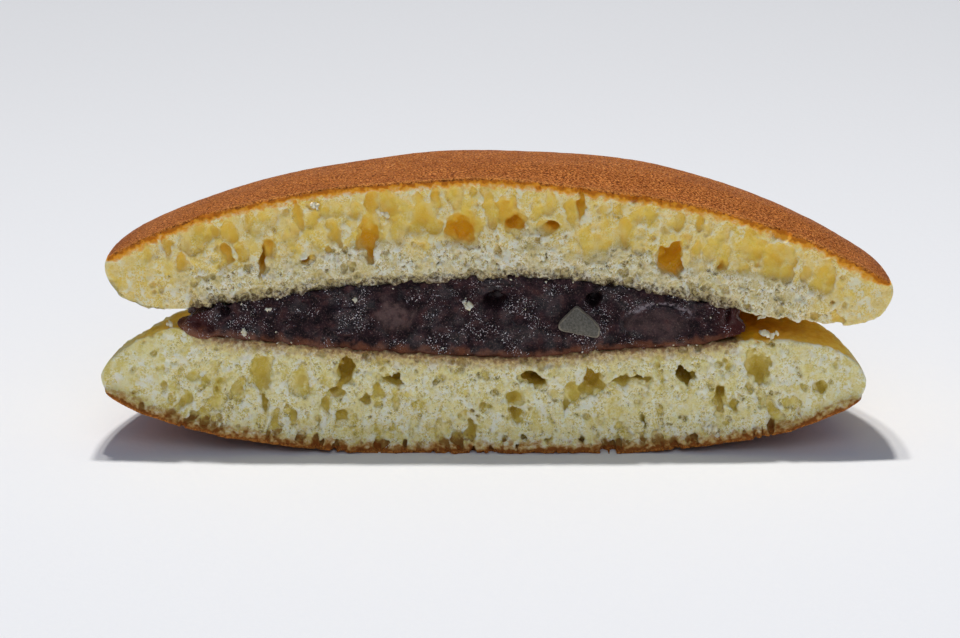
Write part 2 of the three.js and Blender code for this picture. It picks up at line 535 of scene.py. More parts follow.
upper.hollows, upper.columns, upper.foams = UPPER_HOLLOWS, UPPER_COLUMNS, UPPER_FOAMS
lower.hollows, lower.columns, lower.foams = LOWER_HOLLOWS, LOWER_COLUMNS, LOWER_FOAMS
upper.foam_reach, lower.foam_reach = 0.88, 0.93


def section_place(cake, x, level):
    """Height at a level of the cut, 0 on the inner face and 1 on the browned one, and the thickness."""
    bottom, top = (height_at(cake, x, CUT, side) for side in (-1, 1))
    inner, outer = (top, bottom) if cake is lower else (bottom, top)
    return inner + (outer - inner) * level, top - bottom


def column_bubbles(cake, rng):
    """Tall bubbles side by side in uneven rows, leaning outwards towards the rim."""
    parts = []
    for level, half_height, widths, depths, spacing, chance in cake.columns:
        for x in np.arange(-COLUMN_REACH, COLUMN_REACH, spacing / cake.radius) * cake.radius + cake.x:
            x = x + rng.uniform(-0.35, 0.35) * spacing
            z, thickness = section_place(cake, x, level + rng.uniform(-0.07, 0.07))
            half_width, half_depth = rng.uniform(*widths), rng.uniform(*depths)
            radii = (half_width, half_depth, thickness * half_height * rng.uniform(0.6, 1.15))
            lean = -cake.inner * 0.5 * x / cake.radius + rng.uniform(-0.15, 0.15)
            if rng.random() < chance:
                parts.append(egg((x, CUT + rng.uniform(-0.5, 0.3) * half_depth, z), radii, lean))
    return parts


def fine_bubbles(cake, rng):
    """Foam: many small round bubbles between two levels."""
    parts = []
    for count, low_level, high_level, smallest, largest in cake.foams:
        for _ in range(count):
            x = cake.x + cake.radius * rng.uniform(-cake.foam_reach, cake.foam_reach)
            z = section_place(cake, x, rng.uniform(low_level, high_level))[0]
            size = rng.uniform(smallest, largest)
            radii = (size, size * rng.uniform(0.8, 1.6), size * rng.uniform(0.8, 1.3))
            parts.append(egg((x, CUT + rng.uniform(-0.15, 0.3), z), radii))
    return parts


print("hollows placed by hand:", len(UPPER_HOLLOWS), "above and", len(LOWER_HOLLOWS), "below")

# %% [markdown]
# ## Taking the bubbles away
# A boolean with a thousand overlapping eggs is slow and fragile. So the eggs are first melted into one skin
# by a voxel remesh, their walls are roughened, because no real bubble is a perfect egg, and only then are
# they taken away from the body. A last remesh gives the sponge even small faces, which the relief needs.

# %% Take the bubbles away
BUBBLE_VOXEL = 0.16
SPONGE_VOXEL = 0.17
SPONGE_SEEDS = {"upper_cake": 11, "lower_cake": 23}


def open_sponge(cake):
    rng = np.random.default_rng(SPONGE_SEEDS[cake.node])
    matrices = [part for place in cake.hollows for part in hollow(rng, *place)]
    matrices += column_bubbles(cake, rng) + fine_bubbles(cake, rng)
    bubbles = new_object("bubbles", scatter(bubble, matrices, "bubbles"))
    voxel_remesh(bubbles, BUBBLE_VOXEL)
    skin = points_of(bubbles.data)
    torn = 0.38 * drift(skin, 1.5, 61) + 0.3 * drift(skin, 0.8, 62) + 0.2 * drift(skin, 0.45, 63)
    move_points(bubbles.data, skin + normals_of(bubbles.data) * torn[:, None])
    body = smooth[cake.node]
    cut = body.modifiers.new("bubbles", "BOOLEAN")
    cut.operation = "DIFFERENCE"
    cut.solver = "MANIFOLD"
    cut.object = bubbles
    apply_modifiers(body)
    bpy.data.objects.remove(bubbles)
    voxel_remesh(body, SPONGE_VOXEL)
    print(cake.node, len(matrices), "bubbles,", len(body.data.vertices), "points")
    return body


sponges = {cake.node: open_sponge(cake) for cake in (upper, lower)}

# %% [markdown]
# ## Crumb and skin
# The knife leaves torn crumb: tiny lumps and pits all over the cut and inside the hollows. The baked faces
# are smooth by comparison. So each point first learns where it is, and is then moved along its normal by an
# amount that suits the place.

# %% Where a point of a cake is
SLOPE_STEP = 0.05
OFF_CENTRE = 1e-3
RIM_SHARE = 0.4


def depth_under(cake, points, side):
    """How far points lie under one face of the cake, measured square to that face."""
    x, y, z = points.T
    x = np.where(np.hypot(x - cake.x, y - cake.y) > 1e-6, x, x + OFF_CENTRE)
    height = face_height(cake, x, y, side)
    slope_x = (face_height(cake, x + SLOPE_STEP, y, side) - height) / SLOPE_STEP
    slope_y = (face_height(cake, x, y + SLOPE_STEP, side) - height) / SLOPE_STEP
    share = share_of(cake, x, y)
    to_rim = np.maximum((1 - share) * cake.radius, 0)
    from_middle = np.abs(z - middle_height(cake, np.clip(share, 0, 1), x, y))
    upright = side * (height - z) / np.sqrt(1 + slope_x**2 + slope_y**2)
    return np.minimum(upright, to_rim + from_middle * RIM_SHARE)


def crumb_share(cake, points):
    """1 on torn crumb, 0 on the baked faces. Under the paste the inner face is torn crumb too."""
    inner_depth = depth_under(cake, points, cake.inner)
    outer_depth = depth_under(cake, points, -cake.inner)
    stuck = ease(paste_press(points[:, 0], points[:, 1]), 0.0, 0.12)
    crumb = np.minimum(ease(outer_depth, 0.12, 0.4), np.maximum(ease(inner_depth, 0.12, 0.4), stuck))
    crumb = np.maximum(crumb, ease(points[:, 1], CUT + 0.25, CUT + 0.1) * ease(outer_depth, 0.0, 0.15))
    # Nobody sees the crumb far behind the cut, so its relief ends 6 to 9 mm in.
    return crumb * ease(points[:, 1], CUT + 9, CUT + 6)


def level_of(cake, points):
    """0 at the inner face of a cake, 1 at its browned face."""
    x, y, z = points.T
    inner, outer = (face_height(cake, x, y, side) for side in (cake.inner, -cake.inner))
    return np.clip((z - inner) * -cake.inner / np.maximum(np.abs(outer - inner), 0.5), 0, 1)


def foaminess(cake, points):
    """1 in the fine foam of a cake, 0 where smooth tall bubbles took its place, and little at the rim."""
    level = level_of(cake, points) + 0.15 * drift(points, (5, 5, 4), 13) + 0.07 * drift(points, 1.6, 14)
    reach = np.abs(points[:, 0] - cake.x) / cake.radius + 0.05 * drift(points, 3, 15)
    return ease(level, cake.foam_top + 0.1, cake.foam_top - 0.02) * ease(reach, 0.92, 0.72)


inmost = np.array([[0.0, CUT, upper.middle]])
print("the middle of the upper cut is", depth_under(upper, inmost, 1)[0].round(2), "mm under the crust")

# %% Move the points
def crumb_relief(cake, body):
    """In each term of a sum, the first number is a height and the one inside the noise a width."""
    mesh = body.data
    points, normals = points_of(mesh), normals_of(mesh)
    y = points[:, 1]
    crumb, foam = crumb_share(cake, points), foaminess(cake, points)
    under = depth_under(cake, points, -cake.inner)

    # Torn crumb: lumps and pits, rougher in the foam and calmer inside the hollows.
    shelter = 1 - 0.65 * ease(y, CUT + 0.3, CUT + 1.2)
    coarse, own = cells(points, 0.75, 3)
    fine, own_fine = cells(points, 0.42, 9)
    move = 0.24 * drift(points, (1.3, 1.3, 2.2), 1) + 0.15 * drift(points, 0.42, 2)
    move += -0.2 * coarse * own**2.5 - 0.15 * fine * own_fine + 0.1 * foam * drift(points, 0.28, 8) + 0.06
    move = crumb * shelter * move * (0.5 + 0.5 * foam)

    # Baked skin: slow swells and shallow dimples, and a rougher face on the side of the paste.
    dimple, own_dimple = cells(points, 1.1, 17)
    swells = 0.05 * drift(points, 5, 5) + 0.03 * drift(points, 0.8, 6)
    move += (1 - crumb) * (swells - 0.05 * dimple * own_dimple**2)
    bare = ease(under, 1.5, 3.0)
    move += (1 - crumb) * bare * (0.2 * drift(points, 1.4, 21) + 0.16 * drift(points, 0.5, 22))

    # The knife: slow waves, and upright flutes where it pressed soft sponge back.
    knife = 0.25 * drift(points, (7, 3, 5), 7) * ease(y, CUT + 3, CUT)
    flutes = 0.6 + 0.4 * drift(points, (1.3, 30, 5), 19)
    inside = ease(under, 0.5, 1.6) * ease(y, CUT + 1.6, CUT + 0.2)
    points = points + normals * move[:, None]
    points[:, 1] += crumb * (knife + cake.recess * flutes * inside * (1 - foam))
    points[:, 2] = np.maximum(points[:, 2], 0)
    move_points(mesh, points)
    print(cake.node, "points moved by up to", np.abs(move).max().round(2), "mm")


upper.foam_top, upper.recess = 0.36, 0.45
lower.foam_top, lower.recess = 1.2, 0.3
for cake in (upper, lower):
    crumb_relief(cake, sponges[cake.node])

# %% [markdown]
# ## Fewer triangles where nothing needs them
# The fine mesh is only needed on the cut. A vertex group shields the points near the knife's plane, and
# Decimate thins the rest, so the piece stays light enough to reuse.

# %% Thin the back
TRIANGLE_LIMIT = 196000
SHIELD = 0.012
SHIELD_LEVELS = (0.25, 0.5, 0.75, 1.0)


def triangle_count(mesh):
    return sum(len(face.vertices) - 2 for face in mesh.polygons)


def decimate(thing, ratio, shield=None):
    """Thin a mesh. The points of the vertex group shield are kept longest."""
    thin = thing.modifiers.new("thin", "DECIMATE")
    thin.ratio = ratio
    if shield:
        thin.vertex_group = shield
        thin.invert_vertex_group = True
        thin.vertex_group_factor = SHIELD
    apply_modifiers(thing)
    thing.vertex_groups.clear()
    print(thing.name, "after thinning:", triangle_count(thing.data), "triangles")


def thin_back(cake, body):
    points = points_of(body.data)
    near = ease(points[:, 1], CUT + 6, CUT + 3) * crumb_share(cake, points)
    edge = ease(points[:, 1], CUT + 0.9, CUT + 0.4)
    keep = np.maximum(near, edge)
    group = body.vertex_groups.new(name="cut_face")
    for level in SHIELD_LEVELS:
        chosen = np.flatnonzero((keep > level - SHIELD_LEVELS[0]) & (keep <= level))
        group.add(chosen.tolist(), level, "REPLACE")
    decimate(body, TRIANGLE_LIMIT / triangle_count(body.data), group.name)


for cake in (upper, lower):
    thin_back(cake, sponges[cake.node])

# %% [markdown]
# ## What each point tells the material
# A baked cake changes colour with depth: brown skin, an amber line, then yellow crumb. Painting that by hand
# would not follow the bubbles, so numbers are written on the points and the material reads them:
# - `bake` is the depth under the browned face, and `rim` how far out a point lies.
# - `behind` is the depth behind the knife's plane, and `hollow` the same for torn crumb only. The material
#   turns `hollow` into a painted glow and painted shade down in the hollows.
# - `foam` is 1 in fine foam, and `proud` how far a point stands out of its surroundings. The material turns
#   `proud` into a painted highlight on ridges and painted shade in pits.
# - `soak` is how near the paste is.
# - `inner_skin` and `pale_skin` are the bare faces round the paste, orange at first and pale towards the rim.
#   Both are partly painted light: the orange is brightened as a painted glow of light through the cake, and
#   the pale face is lightened where the upper cake shades it.

# %% Write the numbers
DEEPEST = 8
# The pale face starts sooner on the left, where it is lightened as painted light in the upper cake's shade.
PALE_FROM_LEFT, PALE_FROM_RIGHT = 0.86, 0.95
SOAK_DEPTH = 3


def write(mesh, name, values):
    attribute = mesh.attributes.new(name, "FLOAT", "POINT")
    attribute.data.foreach_set("value", np.asarray(values, np.float32))


def neighbour_mean(mesh, values, rounds):
    """Each point's values averaged over its neighbours, as many rounds over as asked."""
    pairs = np.empty(len(mesh.edges) * 2, np.int32)
    mesh.edges.foreach_get("vertices", pairs)
    start, end = pairs.reshape(-1, 2).T
    count = len(mesh.vertices)
    neighbours = np.bincount(start, minlength=count) + np.bincount(end, minlength=count)
    for _ in range(rounds):
        totals = [
            np.bincount(start, one[end], count) + np.bincount(end, one[start], count) for one in values.T
        ]
        values = np.stack(totals, axis=1) / np.maximum(neighbours, 1)[:, None]
    return values


def proudness(mesh, rounds):
    points = points_of(mesh)
    return ((points - neighbour_mean(mesh, points, rounds)) * normals_of(mesh)).sum(axis=1)


def describe(cake, body):
    """Write every number on a cake's points, and return their depth under the browned face."""
    mesh = body.data
    points = points_of(mesh)
    x, y, z = points.T
    share = share_of(cake, x, y)
    behind = np.clip(y - CUT, 0, DEEPEST)
    under = depth_under(cake, points, -cake.inner)

    # The browned face ends part of the way round the shoulder, at an uneven line.
    shoulder = -cake.inner * (z - middle_height(cake, np.clip(share, 0, 1), x, y)) / (cake.thickness / 2)
    shoulder += 0.07 * drift(points, (4, 4, 2), 45)
    bake = under + 3 * ease(shoulder, cake.brown_edge + 0.12, cake.brown_edge - 0.12)

    bare = (1 - ease(depth_under(cake, points, cake.inner), 0.15, 0.6)) * ease(under, 2, 4)
    bare = bare * ease(paste_press(x, y), 0.15, 0.02)
    bare = bare * ease(y, CUT + cake.skin_from, CUT + 2 * cake.skin_from + 0.5)
    pale_from = np.where(x < cake.x, PALE_FROM_LEFT, PALE_FROM_RIGHT)
    orange = ease(share + 0.06 * drift(points, 3, 46) - pale_from, 0.1, 0)

    inner_gap = np.abs(face_height(cake, x, y, cake.inner) - z)
    numbers = {
        "bake": np.clip(bake, 0, DEEPEST),
        "inner_skin": bare * orange,
        "pale_skin": bare * (1 - orange),
        "hollow": behind * crumb_share(cake, points),
        "behind": behind,
        "foam": foaminess(cake, points),
        "proud": proudness(mesh, 3),
        "soak": np.clip(1 - inner_gap / SOAK_DEPTH, 0, 1) * ease(paste_press(x, y), 0, 0.15),
        "rim": share,
    }
    for name, values in numbers.items():
        write(mesh, name, values)
    print(body.name, "proudness spread", numbers["proud"].std().round(4))
    return bake


upper.brown_edge, lower.brown_edge = 0.1, 0.2
upper.skin_from, lower.skin_from = 1.0, 0.1
bakes = {cake.node: describe(cake, sponges[cake.node]) for cake in (upper, lower)}

# %% [markdown]
# ## The lip under the cut
# The knife comes down last through the browned underside. That skin is tougher than the crumb, so it is
# dragged forward into a thin uneven lip. The points that carry brown skin next to the cut are pulled forward.

# %% Drag the lip
LIP = 1.3


def drag_lip(mesh, bake):
    points = points_of(mesh)
    uneven = 1 + 0.3 * drift(points, 2.5, 47)
    points[:, 1] -= LIP * ease(bake, 1.5, 0.3) * ease(points[:, 1], CUT + 1.5, CUT) * uneven
    points[:, 2] = np.maximum(points[:, 2], 0)
    move_points(mesh, points)
    print("the lip reaches", round(CUT - points[:, 1].min(), 2), "mm in front of the cut")


drag_lip(sponges["lower_cake"].data, bakes["lower_cake"])

# %% [markdown]
# ## Bean paste
# Coarse bean paste is a thick mash with whole beans in it. The mash is a lens like the cakes, a little
# thicker than its space so that it clings to both. The beans are eggs given one by one where the knife met
# them, and placed at random elsewhere. A voxel remesh melts mash and beans into one skin.

# %% The lens of mash
PASTE_EDGE = 7
PASTE_SLANT = 0.03
PASTE_FILL = 1.12
CLING = 0.15


def paste_place(share, height, angle):
    radius = share * rim_radius(paste, angle) * (1 - PASTE_SLANT * height)
    x = paste.x + radius * np.cos(angle)
    y = paste.y + radius * np.sin(angle)
    ceiling = face_height(upper, x, y, -1) + CLING
    floor = face_height(lower, x, y, 1) - CLING
    full = np.clip(PASTE_FILL * height, -1, 1)
    return np.stack([x, y, (ceiling + floor) / 2 + full * (ceiling - floor) / 2], axis=1)


def paste_span(x, y):
    """Where the space between the cakes starts and ends at one place."""
    return height_at(lower, x, y, 1), height_at(upper, x, y, -1)


print("room for the paste at the middle of the cut:", np.round(paste_span(0.0, CUT), 2).tolist())

# %% Beans in the mash
RECESS = 0.35
PASTE_VOXEL = 0.2
PASTE_SEED = 5
BEAN_TRIES = 400
BEAN_SPACING = 3.2
TOP_LUMPS = 150
Bean = namedtuple("Bean", "x back z half_x half_y half_z lean paleness")
# back is the depth of the bean's middle behind the knife, and paleness is that of its opened flesh.
PLACED_BEANS = [
    Bean(19.3, 1.0, 15.7, 4.5, 2.4, 2.6, -0.03, 0.34),
    Bean(-18.1, 2.0, 16.3, 3.3, 2.6, 2.9, 0.3, 0.0),
    Bean(-12.3, 1.0, 17.2, 2.7, 1.6, 3.0, 0.35, 0.62),
    Bean(-27.5, 2.2, 16.8, 3.6, 2.2, 2.0, -0.1, 0.0),
    Bean(3.2, 2.2, 15.2, 3.6, 2.3, 2.3, 0.2, 0.0),
    Bean(-4.5, 2.4, 14.6, 3.4, 2.3, 2.1, -0.2, 0.0),
    Bean(11.8, 2.5, 19.3, 3.0, 2.2, 1.8, 0.1, 0.0),
    Bean(-35.6, 1.5, 14.9, 2.9, 1.9, 1.3, 0.3, 0.0),
    Bean(26.5, 2.0, 17.0, 2.9, 2.1, 1.6, 0.1, 0.0),
]


def random_beans(rng):
    """Beans round the outside of the paste, where they bulge between the cakes."""
    beans = []
    for _ in range(BEAN_TRIES):
        angle = rng.uniform(0.25, math.pi - 0.25)
        reach = paste.radius - rng.uniform(0.6, 2.6)
        x, y = paste.x + reach * math.cos(angle), paste.y + reach * math.sin(angle)
        bottom, top = paste_span(x, y)
        z = rng.uniform(bottom + 1.6, max(bottom + 1.7, top - 1.6))
        if all(math.dist((x, y, z), bean[0]) > BEAN_SPACING for bean in beans):
            radii = (rng.uniform(3.2, 4.2), rng.uniform(2.1, 2.6), rng.uniform(1.9, 2.4))
            beans.append(((x, y, z), radii, rng.uniform(0, math.pi)))
    return beans


def bean_matrices(rng):
    parts = []
    for bean in PLACED_BEANS:
        place = (bean.x, CUT + bean.back, bean.z)
        parts.append(egg(place, (bean.half_x, bean.half_y, bean.half_z), bean.lean))
    for _ in range(TOP_LUMPS):
        x = rng.uniform(-34, 28)
        top = paste_span(x, CUT)[1]
        size = rng.uniform(0.25, 0.55)
        place = (x, CUT + rng.uniform(0.1, 0.5), top + rng.uniform(-0.8, 0.05))
        parts.append(egg(place, (size * rng.uniform(0.8, 1.8), size, size * rng.uniform(0.7, 1.2))))
    for place, radii, turn in random_beans(rng):
        tilt = Euler((rng.uniform(-0.4, 0.4), rng.uniform(-0.3, 0.3), turn))
        parts.append(Matrix.LocRotScale(Vector(place), tilt, Vector(radii)))
    return parts


def mash_with_beans():
    bm = half_pancake(PASTE_EDGE, paste_place, CUT + RECESS)
    bm.from_mesh(scatter(ball(3), bean_matrices(np.random.default_rng(PASTE_SEED)), "beans"))
    return new_object("bean_paste_piece", mesh_from(bm, "bean_paste_piece"))


filling = mash_with_beans()
voxel_remesh(filling, PASTE_VOXEL)
print("paste:", len(filling.data.vertices), "points")

# %% [markdown]
# ## The cut of the paste
# The knife drags soft paste flat but leaves beans, fibres and pits. A bean that the knife slid over is calm
# and lies in a crease, so the relief first asks how near each point is to the beans.

# %% Paste relief
# Dark pits between the beans: x, z, half width, half height, depth.
PITS = [
    (0.0, 18.7, 1.8, 1.3, 2.4), (11.6, 18.7, 1.0, 1.1, 2.6),
    (-32.5, 17.4, 0.8, 0.7, 1.5), (27.6, 16.9, 0.4, 1.4, 1.4),
]
# How deep the crease round a bean is, and how calm its skin is, for the first two beans.
CREASES = [(0.07, 0.8), (0.06, 0.0)]
PASTE_THINNING = 0.55


def pit(points, x, z, half_x, half_z, depth):
    reach = np.hypot((points[:, 0] - x) / half_x, (points[:, 2] - z) / half_z) + 0.35 * drift(points, 0.9, 37)
    return depth * ease(reach, 1.05, 0.55) * ease(points[:, 1], CUT + 4, CUT + 2)


def bean_reach(points, bean):
    """0 at the middle of a bean, 1 on its skin."""
    side, rise = points[:, 0] - bean.x, points[:, 2] - bean.z
    across = (side * math.cos(bean.lean) - rise * math.sin(bean.lean)) / bean.half_x
    up = (side * math.sin(bean.lean) + rise * math.cos(bean.lean)) / bean.half_z
    through = (points[:, 1] - CUT - bean.back) / bean.half_y
    return np.sqrt(across**2 + up**2 + through**2) + 0.05 * drift(points, 0.8, 41)


def paste_relief(thing):
    mesh = thing.data
    points = points_of(mesh)
    points[:, 1] = np.maximum(points[:, 1], CUT - 0.1 + 0.25 * drift(points, (4, 3, 2.5), 31))
    move_points(mesh, points)
    normals = normals_of(mesh)
    near = ease(points[:, 1], CUT + 2.5, CUT + 1.2) * ease(drift(points, 2, 39), -0.5, 0.4)
    calm = np.ones(len(points))
    crease = np.zeros(len(points))
    for bean, (depth, calmness) in zip(PLACED_BEANS, CREASES):
        reach = bean_reach(points, bean)
        crease = np.maximum(crease, depth * np.exp(-(((reach - 1.06) / 0.09) ** 2)))
        calm = np.minimum(calm, 1 - calmness * ease(reach, 1.0, 0.9))
    lump, own = cells(points, 0.95, 33)
    fine, own_fine = cells(points, 0.5, 35)
    fibre = drift(points, (2.4, 0.8, 0.4), 38) * ease(bean_reach(points, PLACED_BEANS[1]), 1.5, 0.9)
    move = 0.16 * drift(points, 1.8, 34) + 0.14 * lump * own + 0.18 * fine * own_fine + 0.2 * fibre - 0.12
    points = points + normals * (calm * move)[:, None]
    points[:, 1] += near * crease + sum(pit(points, *place) for place in PITS)
    move_points(mesh, points)


paste_relief(filling)
decimate(filling, PASTE_THINNING)

# %% What each point of the paste tells the material
SYRUP_DEPTH = 1.4


def bean_flesh(points):
    """Where the knife has opened a bean, by how pale its flesh is."""
    flesh = np.zeros(len(points))
    for bean in PLACED_BEANS:
        reach = bean_reach(points, bean) + 0.2 * drift(points, 1.3, 43)
        opened = ease(reach, 1.05, 0.7) * ease(points[:, 1], CUT + 0.9, CUT + 0.3)
        flesh = np.maximum(flesh, bean.paleness * opened)
    return flesh


def bean_rim_highlight(points, bean):
    """A painted highlight: the light line along the top of an opened bean."""
    line = np.exp(-(((bean_reach(points, bean) - 1.0) / 0.045) ** 2))
    return line * ease(points[:, 2], bean.z + 0.6, bean.z + 1.8) * ease(points[:, 1], CUT + 1.2, CUT + 0.6)


def describe_paste(mesh):
    """Syrup has soaked the bottom of the paste, and the thin end of the lens is redder."""
    points = points_of(mesh)
    x, y, z = points.T
    write(mesh, "flesh", bean_flesh(points))
    # A painted highlight along the top of the first bean.
    write(mesh, "rim_highlight", bean_rim_highlight(points, PLACED_BEANS[0]))
    write(mesh, "syrup", np.clip(1 - (z - face_height(lower, x, y, 1)) / SYRUP_DEPTH, 0, 1))
    write(mesh, "end", ease(np.hypot(x - paste.x, y - paste.y) / paste.radius, 0.84, 0.97))
    print("the paste carries", [item.name for item in mesh.attributes if item.data_type == "FLOAT"])


describe_paste(filling.data)

# %% [markdown]
# ## Loose crumbs
# The knife leaves crumbs on the cut, on the paste and along the bottom edge. One lumpy crumb is modelled and
# copied to chosen and random places, each turned and sized differently, as a single mesh.

# %% Crumbs
CRUMB_SEED = 61
# Each little heap: x, z, how far in front of the knife's plane, size, count.
CRUMB_HEAPS = [
    (-3.2, 17.8, 0.1, 0.62, 2), (-4.0, 18.6, 0.0, 0.3, 3), (-30.2, 14.7, 0.15, 0.5, 5),
    (-27.2, 17.8, 0.1, 0.34, 5), (-39.2, 15.6, -0.6, 0.5, 6), (31.7, 16.6, -0.8, 0.45, 6),
    (33.0, 14.4, -0.2, 0.6, 5), (25.6, 3.0, 0.6, 0.6, 8), (26.6, 2.2, 0.7, 0.35, 4),
    (-12.8, 0.8, 0.2, 0.45, 4), (-27.6, 21.8, 0.1, 0.4, 4), (-7.0, 23.2, 0.1, 0.5, 3),
    (-8.3, 24.0, 0.1, 0.4, 2), (-21.4, 30.6, 0.15, 0.42, 7), (29.2, 20.0, 0.1, 0.4, 4),
    (-13.2, 29.4, 0.25, 0.4, 4), (-17.1, 18.9, 0.1, 0.4, 3),
]
BOTTOM_CRUMBS = 8
PASTE_CRUMBS = 40


def lumpy_crumb():
    mesh = ball(2)
    points = points_of(mesh)
    swell = 1 + 0.5 * drift(points, 0.6, 51) + 0.35 * drift(points, 0.3, 52)
    move_points(mesh, points * swell[:, None])
    return mesh


def crumb_matrix(rng, place, size):
    turn = Euler(rng.uniform(0, math.tau, 3))
    radii = size * rng.uniform(0.3, 1.1, 3)
    return Matrix.LocRotScale(Vector(place), turn, Vector(radii))


def crumb_matrices(rng):
    parts = []
    for x, z, front, size, count in CRUMB_HEAPS:
        for _ in range(count):
            place = (
                x + rng.normal(0, 0.6 * size),
                CUT - front + rng.uniform(-0.1, 0.15),
                z + rng.normal(0, 0.4 * size),
            )
            parts.append(crumb_matrix(rng, place, size * rng.uniform(0.5, 0.9)))
    for _ in range(BOTTOM_CRUMBS):
        x = rng.uniform(-38, 38)
        bottom = height_at(lower, x, CUT, -1)
        place = (x, CUT + rng.uniform(-0.1, 0.3), bottom + rng.uniform(0.8, 1.6))
        parts.append(crumb_matrix(rng, place, rng.uniform(0.12, 0.25)))
    for _ in range(PASTE_CRUMBS):
        x = rng.uniform(-32, 26)
        bottom, top = paste_span(x, CUT)
        heights = [bottom + rng.uniform(0, 0.4), top - rng.uniform(0, 0.4), rng.uniform(bottom, top)]
        z = rng.choice(heights, p=[0.3, 0.4, 0.3])
        parts.append(crumb_matrix(rng, (x, CUT + rng.uniform(0, 0.3), z), rng.uniform(0.08, 0.17)))
    return parts


crumb_places = crumb_matrices(np.random.default_rng(CRUMB_SEED))
crumbs = new_object("loose_crumbs", scatter(lumpy_crumb(), crumb_places, "loose_crumbs"))
print("crumbs:", len(crumb_places), "with", len(crumbs.data.polygons), "triangles")

# %% [markdown]
# ## A split bean
# One bean was cut and stands in the paste with its pale inside forward. It has straight sides and rounded
# corners, which an egg can't give. So its outline is a formula, extruded, bevelled and slightly crowned.

# %% A split bean
BEAN_PLACE = (9.9, CUT + 1.3, 15.9)
BEAN_DEPTH = 1.7
BEAN_BEVEL = 0.12
BEAN_INSETS = (0.12, 0.3)
BEAN_CROWN = 0.3
# The straight sides of the bean's cut: which way each faces, in degrees, and its distance from the middle.
BEAN_SIDES = [(135, 1.86), (48, 1.42), (-8, 2.5), (-102, 1.24), (195, 2.6)]
CORNER_SHARPNESS = 9


def bean_outline(angle):
    """Radius of the bean's cut: straight sides that meet in rounded corners."""
    reach = [np.clip(np.cos(angle - math.radians(facing)), 0, 1) / far for facing, far in BEAN_SIDES]
    return sum(value**CORNER_SHARPNESS for value in reach) ** (-1 / CORNER_SHARPNESS)


def split_bean():
    """A corner of a bean that stands in the paste with its cut side forward."""
    bm = bmesh.new()
    bmesh.ops.create_circle(bm, segments=48, radius=1, cap_ends=True)
    for vertex in bm.verts:
        vertex.co *= float(bean_outline(math.atan2(vertex.co.y, vertex.co.x)))
    grown = bmesh.ops.extrude_face_region(bm, geom=bm.faces[:])
    raised = [part for part in grown["geom"] if isinstance(part, bmesh.types.BMVert)]
    bmesh.ops.translate(bm, verts=raised, vec=(0, 0, BEAN_DEPTH))
    bmesh.ops.recalc_face_normals(bm, faces=bm.faces)
    rims = [edge for edge in bm.edges if edge.calc_face_angle(0) > 1]
    bmesh.ops.bevel(bm, geom=rims, offset=BEAN_BEVEL, segments=3, profile=0.5, affect="EDGES", material=-1)
    for thickness in BEAN_INSETS:
        wide = [part for part in bm.faces if abs(part.normal.z) > 0.9 and len(part.verts) > 4]
        bmesh.ops.inset_region(bm, faces=wide, thickness=thickness)
    bmesh.ops.poke(bm, faces=[part for part in bm.faces if len(part.verts) > 4])
    upright = Matrix.Translation(BEAN_PLACE) @ Matrix.Rotation(math.radians(90), 4, "X")
    bmesh.ops.transform(bm, verts=bm.verts, matrix=upright)
    return new_object("split_bean", mesh_from(bm, "split_bean"))


def bean_relief(mesh):
    """Note where the bean's skin shows, then crown the cut and roughen it a little."""
    points = points_of(mesh)
    side, rise = points[:, 0] - BEAN_PLACE[0], points[:, 2] - BEAN_PLACE[2]
    share = np.hypot(side, rise) / bean_outline(np.arctan2(rise, side))
    write(mesh, "edge", ease(share + 0.05 * drift(points, 0.5, 72), 0.9, 0.98))
    points[:, 1] -= BEAN_CROWN * np.clip(1 - share**2, 0, 1)
    points += normals_of(mesh) * 0.06 * drift(points, 0.7, 71)[:, None]
    move_points(mesh, points)
    print("split bean box:", points.min(0).round(2), points.max(0).round(2))


wedge = split_bean()
bean_relief(wedge.data)

# %% [markdown]
# ## Materials
# A few helpers keep the node code short. Patterns read Object coordinates, scaled so that one unit is a
# millimetre.

# %% Node helpers
def plug(tree, socket, value):
    """Link a node's output to a socket, or set the socket's own value."""
    if isinstance(value, bpy.types.NodeSocket):
        tree.links.new(value, socket)
    elif hasattr(value, "__len__") and len(value) == 3 and socket.type == "RGBA":
        socket.default_value = (*value, 1)
    else:
        socket.default_value = value


def plug_all(tree, node, **inputs):
    """Plug several inputs of a node. An underscore in a name stands for a space."""
    for name, value in inputs.items():
        plug(tree, node.inputs[name.replace("_", " ")], value)


def add(tree, kind, settings=(), **inputs):
    made = tree.nodes.new("ShaderNode" + kind)
    for name, value in dict(settings).items():
        setattr(made, name, value)
    plug_all(tree, made, **inputs)
    return made


def mix(tree, factor, first, second):
    """A colour between two. A Mix node has a socket of each kind, and 0, 6 and 7 are those for colours."""
    made = add(tree, "Mix", {"data_type": "RGBA"})
    for index, value in ((0, factor), (6, first), (7, second)):
        plug(tree, made.inputs[index], value)
    return made.outputs[2]


def maths(tree, operation, first, second):
    made = add(tree, "Math", {"operation": operation})
    plug(tree, made.inputs[0], first)
    plug(tree, made.inputs[1], second)
    return made.outputs[0]


def plus(tree, first, second):
    return maths(tree, "ADD", first, second)


def minus(tree, first, second):
    return maths(tree, "SUBTRACT", first, second)


def times(tree, first, second):
    return maths(tree, "MULTIPLY", first, second)


def fade(tree, value, start, end, low=0.0, high=1.0):
    """low while value is before start, high once it is past end, and smooth between."""
    smooth_steps = {"interpolation_type": "SMOOTHSTEP"}
    span = {"From_Min": start, "From_Max": end, "To_Min": low, "To_Max": high}
    return add(tree, "MapRange", smooth_steps, Value=value, **span).outputs[0]


def column(tree, name):
    """The number that the points carry under a name."""
    return add(tree, "Attribute", {"attribute_name": name}).outputs["Fac"]


